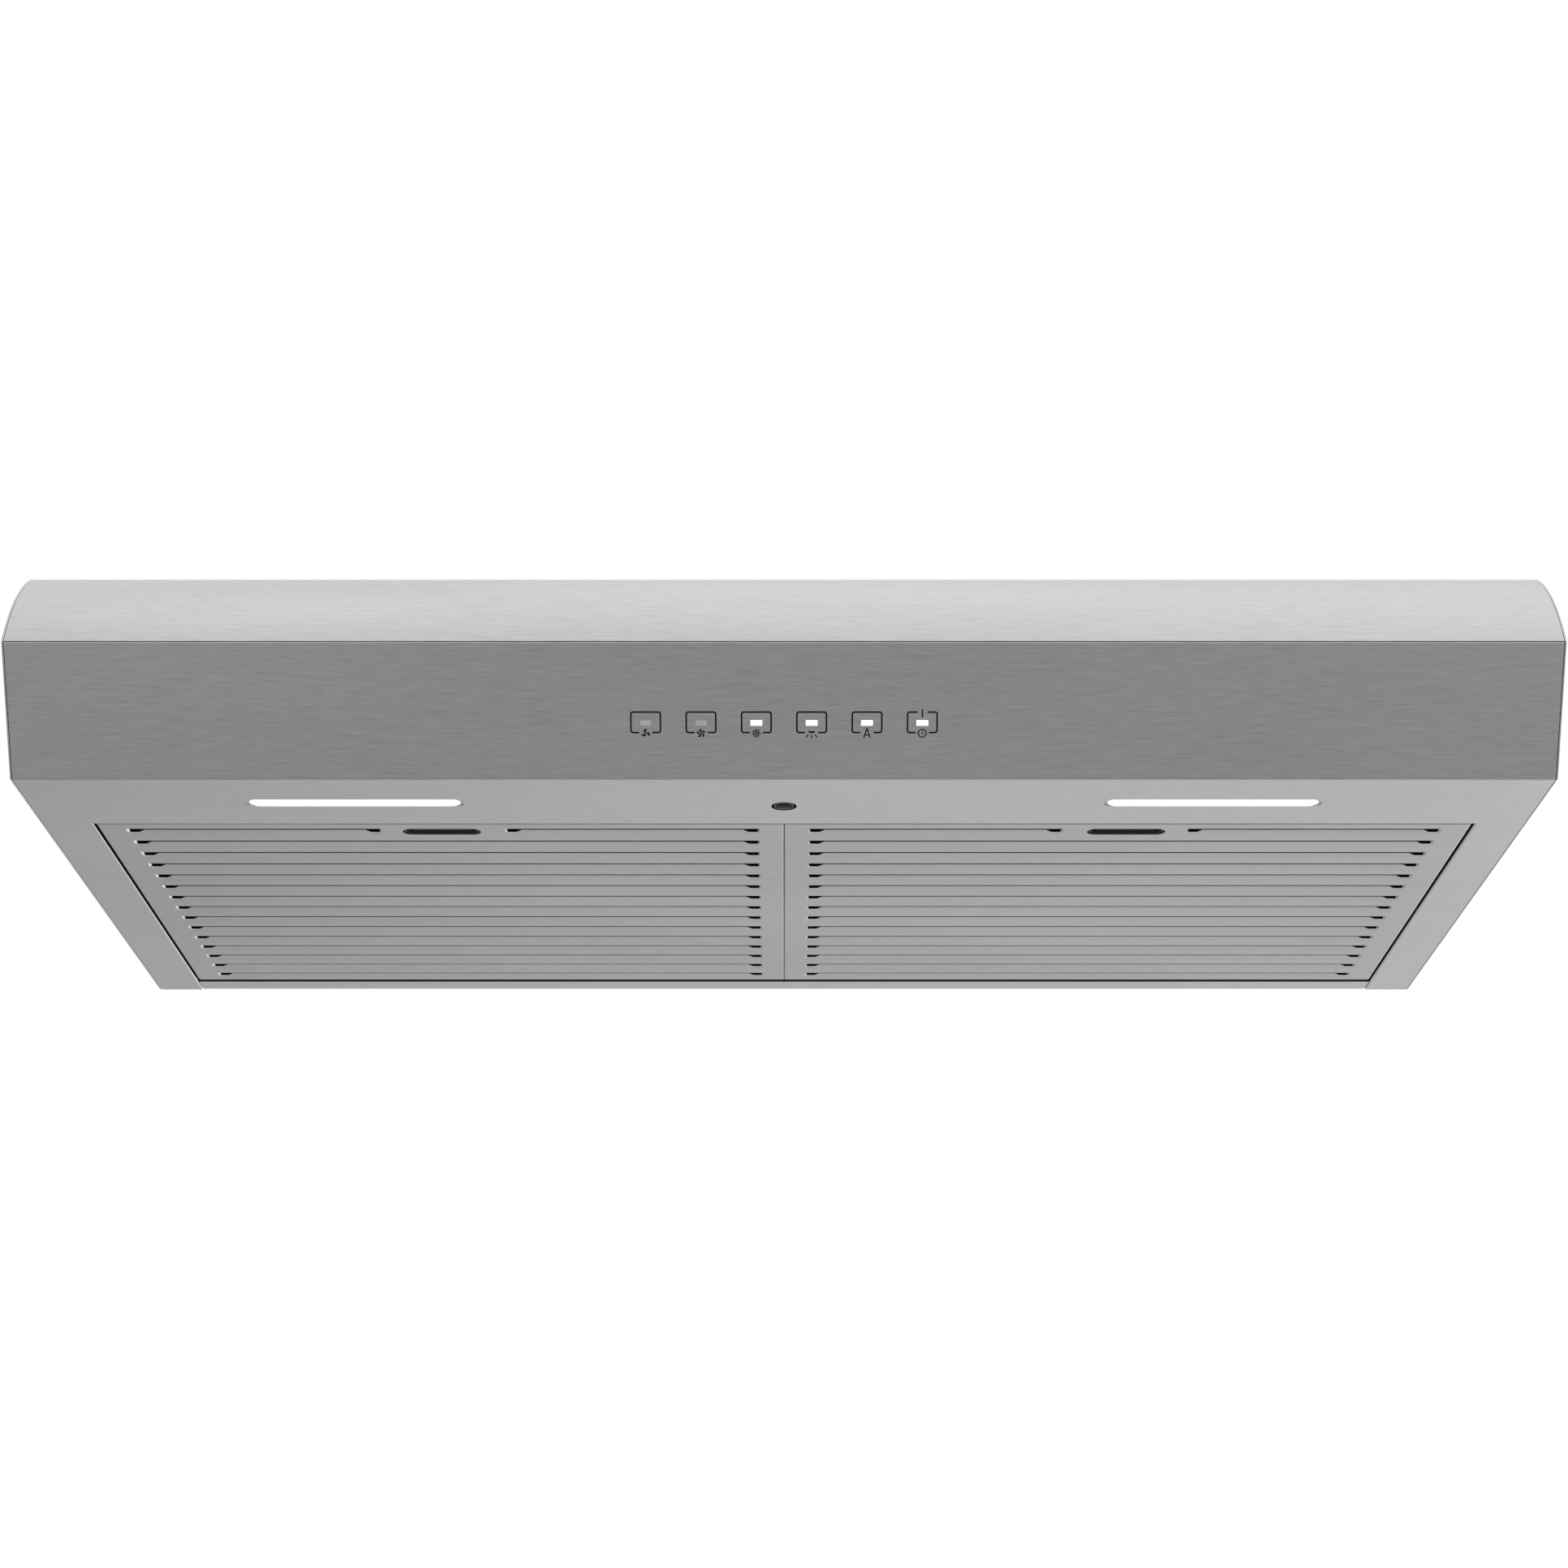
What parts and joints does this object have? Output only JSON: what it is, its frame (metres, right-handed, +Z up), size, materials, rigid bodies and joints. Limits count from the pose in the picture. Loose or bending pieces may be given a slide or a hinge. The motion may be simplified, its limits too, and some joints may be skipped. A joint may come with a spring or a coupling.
{
  "type": "under cabinet range hood",
  "caption": "Under-cabinet range hood in brushed stainless steel: curved front, slanted touch face, light bars, latched louvred filters, centrifugal blower and duct damper.",
  "frame": {"origin": "middle of the top panel's outer face, where the hood meets the cabinet", "axes": "+X to the right as the cook sees it, +Y towards the wall, +Z up into the cabinet"},
  "size_m": [0.911, 0.5, 0.168],
  "materials": {
    "brushed_shell": "stainless steel, fine horizontal brushing",
    "filter_steel": "stainless steel, fine horizontal brushing",
    "galvanised": "galvanised sheet steel, faint spangle",
    "aluminium": "plain mill finish",
    "fasteners": "zinc-plated steel",
    "black_plastic": "fine moulded texture",
    "white_plastic": "satin moulded",
    "light_lens": "milky diffuser, lit",
    "window_dim": "frosted, unlit",
    "window_lit": "frosted, lit white",
    "smoked_lens": "smoked, glossy",
    "circuit_board": "green solder mask"
  },
  "bodies": {
    "canopy": {"top_panel": "galvanised", "front_panel": "brushed_shell", "lower_shell": "brushed_shell", "left_side_panel": "brushed_shell", "right_side_panel": "brushed_shell", "back_panel": "galvanised", "rear_rail": "brushed_shell", "duct_collar": "galvanised", "collar_screw_1": "fasteners", "collar_screw_2": "fasteners", "collar_screw_3": "fasteners", "collar_screw_4": "fasteners", "blower_housing": "galvanised", "inlet_plate": "galvanised", "inlet_screw_1": "fasteners", "inlet_screw_2": "fasteners", "inlet_screw_3": "fasteners", "motor_bracket": "galvanised", "motor_screw_1": "fasteners", "motor_screw_2": "fasteners", "motor_screw_3": "fasteners", "motor": "aluminium", "capacitor": "white_plastic", "junction_box": "galvanised", "junction_cover": "galvanised", "terminal_block": "black_plastic", "cable_clamp": "black_plastic", "electronics_cover": "white_plastic", "power_board": "circuit_board", "mains_harness": "black_plastic", "control_harness": "black_plastic", "control_carrier": "black_plastic", "control_board": "circuit_board", "speed_low_light_pipe": "window_dim", "speed_medium_light_pipe": "window_dim", "speed_high_light_pipe": "window_lit", "light_light_pipe": "window_lit", "auto_light_pipe": "window_lit", "power_timer_light_pipe": "window_lit", "left_light_lens": "light_lens", "right_light_lens": "light_lens", "left_light_housing": "white_plastic", "right_light_housing": "white_plastic", "left_led_board": "circuit_board", "right_led_board": "circuit_board", "sensor_housing": "black_plastic", "sensor_lens": "smoked_lens"},
    "blower_rotor": {"blower_wheel": "galvanised", "motor_shaft": "fasteners", "wheel_nut": "fasteners"},
    "damper": {"damper_flap": "aluminium", "damper_rod": "fasteners"},
    "left_filter": {"left_filter_grille": "filter_steel", "left_filter_mesh": "aluminium", "left_filter_back_frame": "aluminium"},
    "right_filter": {"right_filter_grille": "filter_steel", "right_filter_mesh": "aluminium", "right_filter_back_frame": "aluminium"},
    "left_latch": {"left_filter_latch": "black_plastic"},
    "right_latch": {"right_filter_latch": "black_plastic"}
  },
  "joints": [
    {"name": "blower_spin", "type": "hinge", "parent": "canopy", "child": "blower_rotor", "pos_m": [-0.045, -0.025, -0.045], "axis": [0, 0, 1], "continuous": true},
    {"name": "damper_swing", "type": "hinge", "parent": "canopy", "child": "damper", "pos_m": [0, 0.2268, 0.008], "axis": [-1, 0, 0], "range_deg": [0, 78]},
    {"name": "left_filter_swing", "type": "hinge", "parent": "canopy", "child": "left_filter", "pos_m": [-0.2111, 0.2315, -0.11945], "axis": [1, 0, 0], "range_deg": [0, 30]},
    {"name": "left_latch_slide", "type": "slide", "parent": "left_filter", "child": "left_latch", "axis": [0, 1, 0], "range_m": [0, 0.007], "stiffness_N_per_m": 400, "springref_m": -0.004},
    {"name": "right_filter_swing", "type": "hinge", "parent": "canopy", "child": "right_filter", "pos_m": [0.2111, 0.2315, -0.11945], "axis": [1, 0, 0], "range_deg": [0, 30]},
    {"name": "right_latch_slide", "type": "slide", "parent": "right_filter", "child": "right_latch", "axis": [0, 1, 0], "range_m": [0, 0.007], "stiffness_N_per_m": 400, "springref_m": -0.004}
  ]
}
